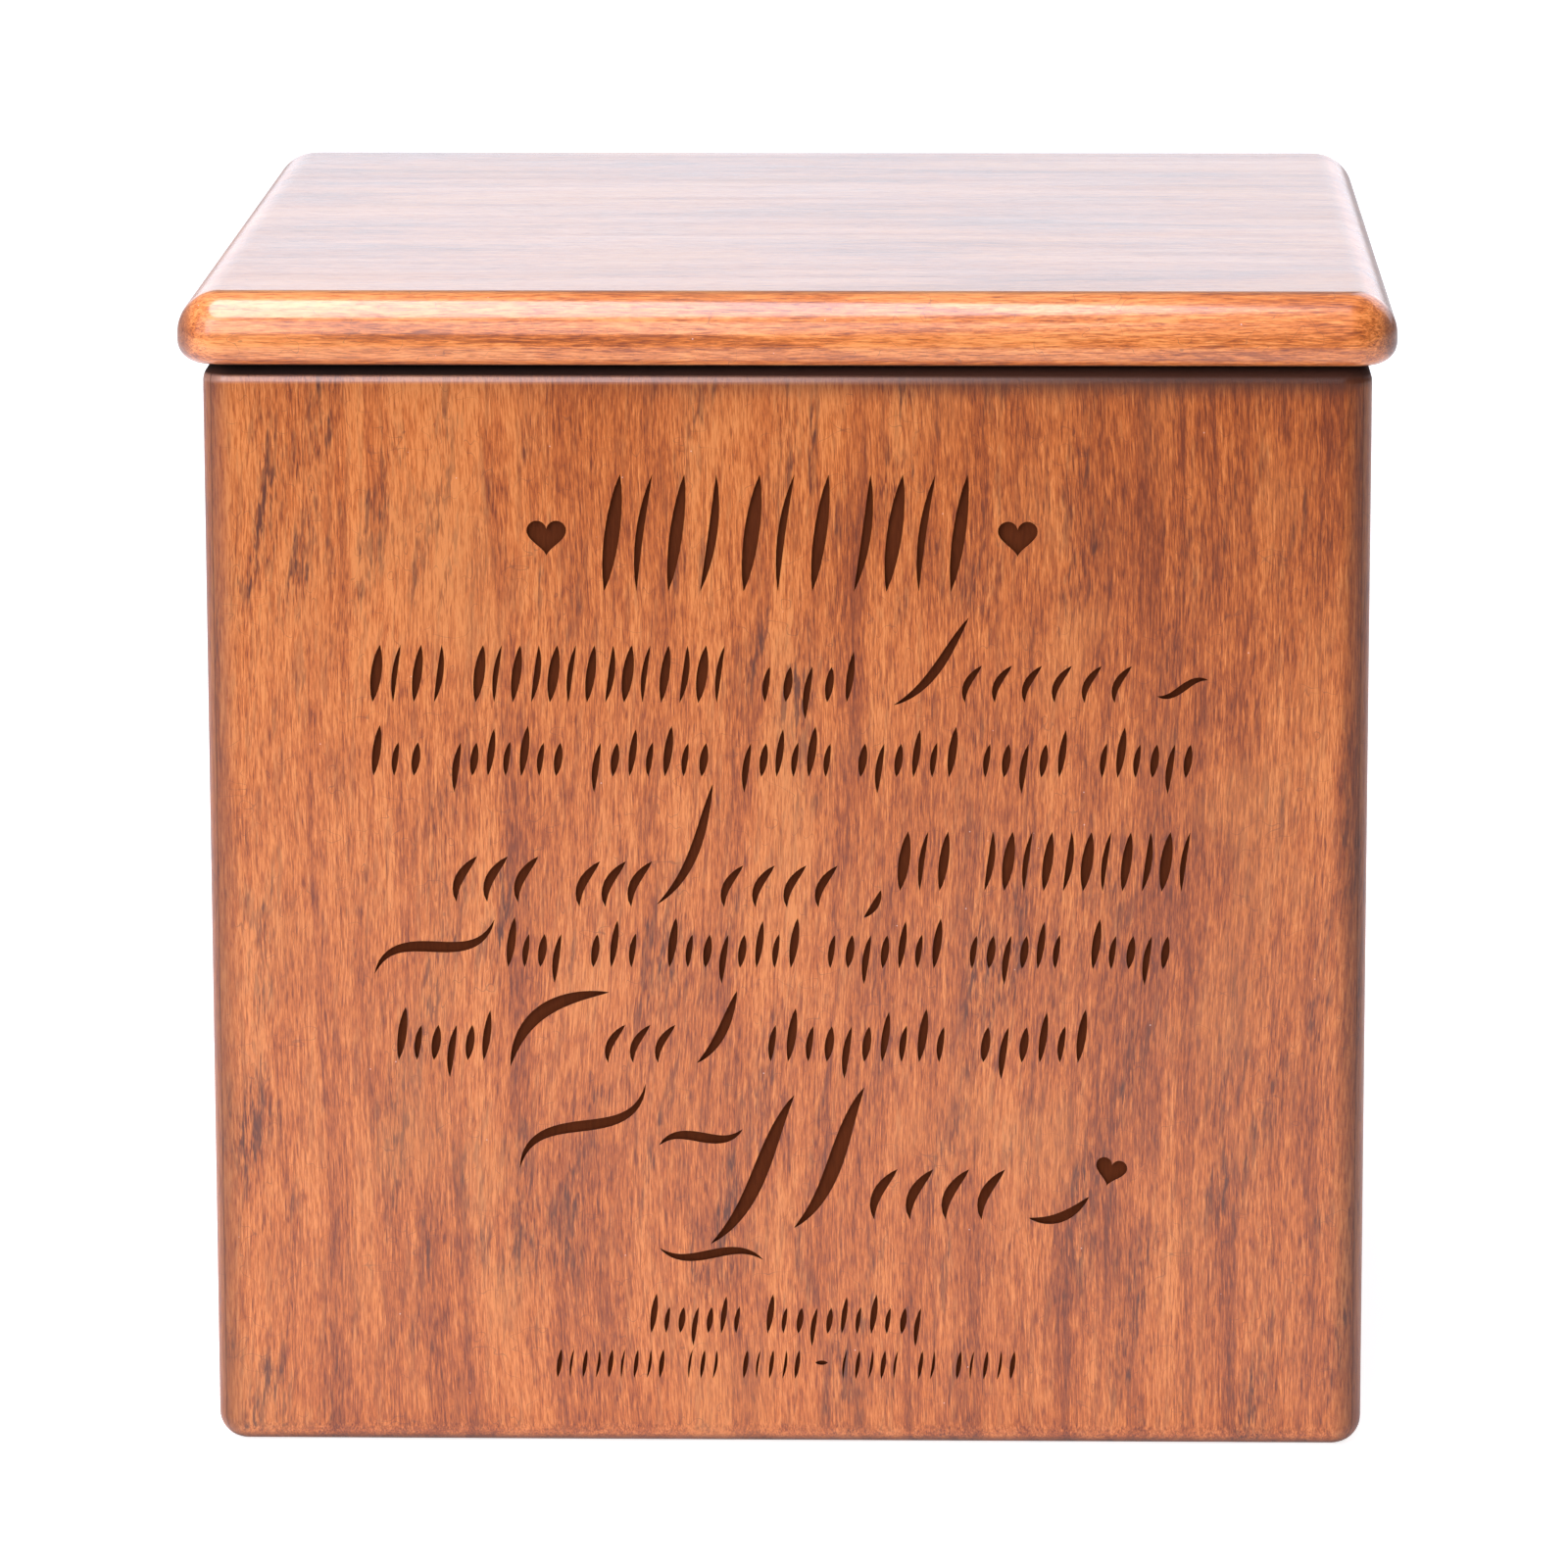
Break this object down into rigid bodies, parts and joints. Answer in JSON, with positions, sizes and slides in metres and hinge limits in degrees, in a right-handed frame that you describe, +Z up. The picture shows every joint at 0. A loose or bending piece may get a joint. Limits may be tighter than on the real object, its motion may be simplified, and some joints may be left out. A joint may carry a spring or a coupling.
{
  "type": "cremation urn box",
  "caption": "Near-cubic wooden cremation urn box with a lift-off overhanging lid, hollow inside, its front engraved with rows of shallow strokes.",
  "frame": {"origin": "centre of the underside, on the surface that the box stands on", "axes": "+Z up, -Y towards the engraved front, +X to the right as seen from the front"},
  "size_m": [0.175, 0.175, 0.1707],
  "materials": {
    "stained_front": "cherry-stained hardwood under semi-gloss clear lacquer, vertical grain, with burnt engraved strokes",
    "stained_sides": "cherry-stained hardwood under semi-gloss clear lacquer, vertical grain",
    "stained_lid": "cherry-stained hardwood under semi-gloss clear lacquer, grain along the width",
    "bottom_board": "stained hardwood, thin satin lacquer"
  },
  "bodies": {
    "root": {"front_panel": "stained_front", "back_panel": "stained_sides", "left_panel": "stained_sides", "right_panel": "stained_sides", "bottom_panel": "bottom_board", "lid": "stained_lid"}
  },
  "joints": []
}
